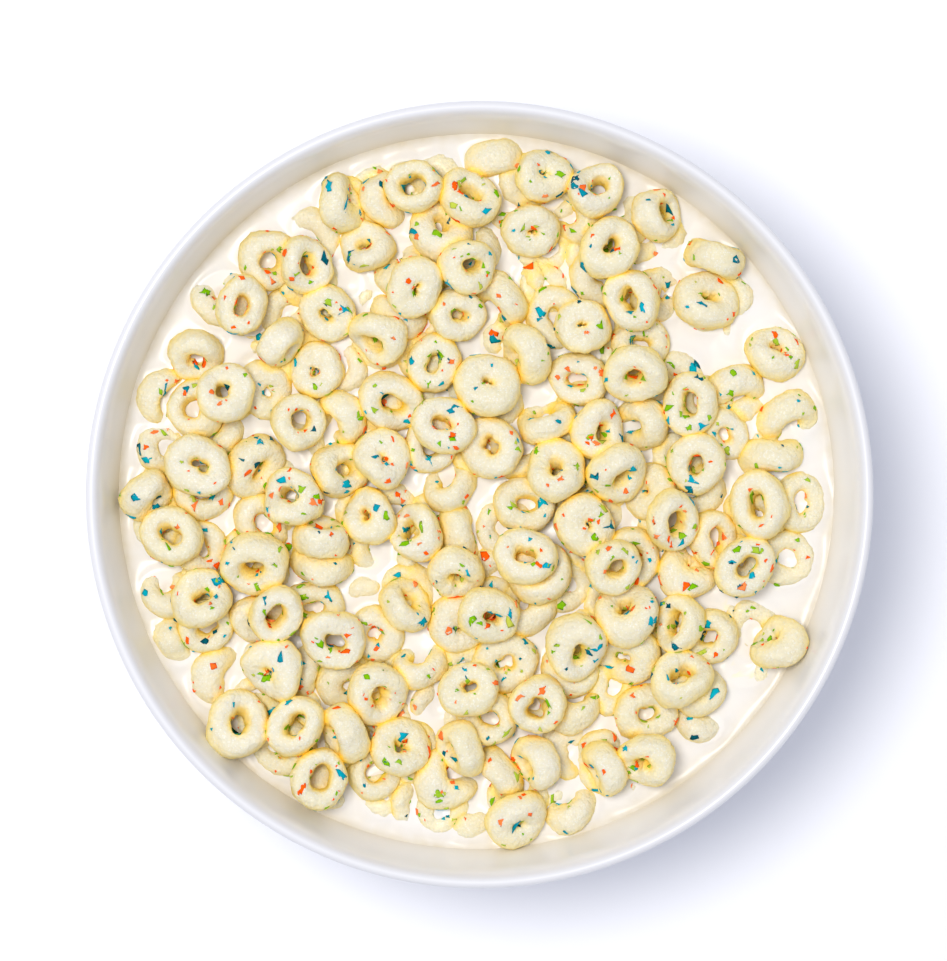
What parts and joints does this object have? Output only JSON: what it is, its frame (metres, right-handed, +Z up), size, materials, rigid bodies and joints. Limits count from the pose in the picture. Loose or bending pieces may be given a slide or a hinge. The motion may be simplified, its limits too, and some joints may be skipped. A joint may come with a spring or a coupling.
{
  "type": "bowl of cereal",
  "caption": "Round white glazed bowl on a foot ring, filled with milk, with a heap of small speckled ring-shaped cereal pieces floating on it.",
  "frame": {"origin": "centre of the foot ring, on the surface that the bowl stands on", "axes": "+Z up along the bowl's axis; seen from above, +X is to the right and +Y to the top of the picture"},
  "size_m": [0.16, 0.16, 0.066],
  "materials": {
    "bowl": "white gloss glaze",
    "milk": "smooth opaque liquid, wet gloss",
    "cereal": "dry puffed grain, matt, with small coloured flecks"
  },
  "bodies": {
    "root": {"bowl": "bowl", "milk": "milk", "cereal": "cereal"}
  },
  "joints": []
}
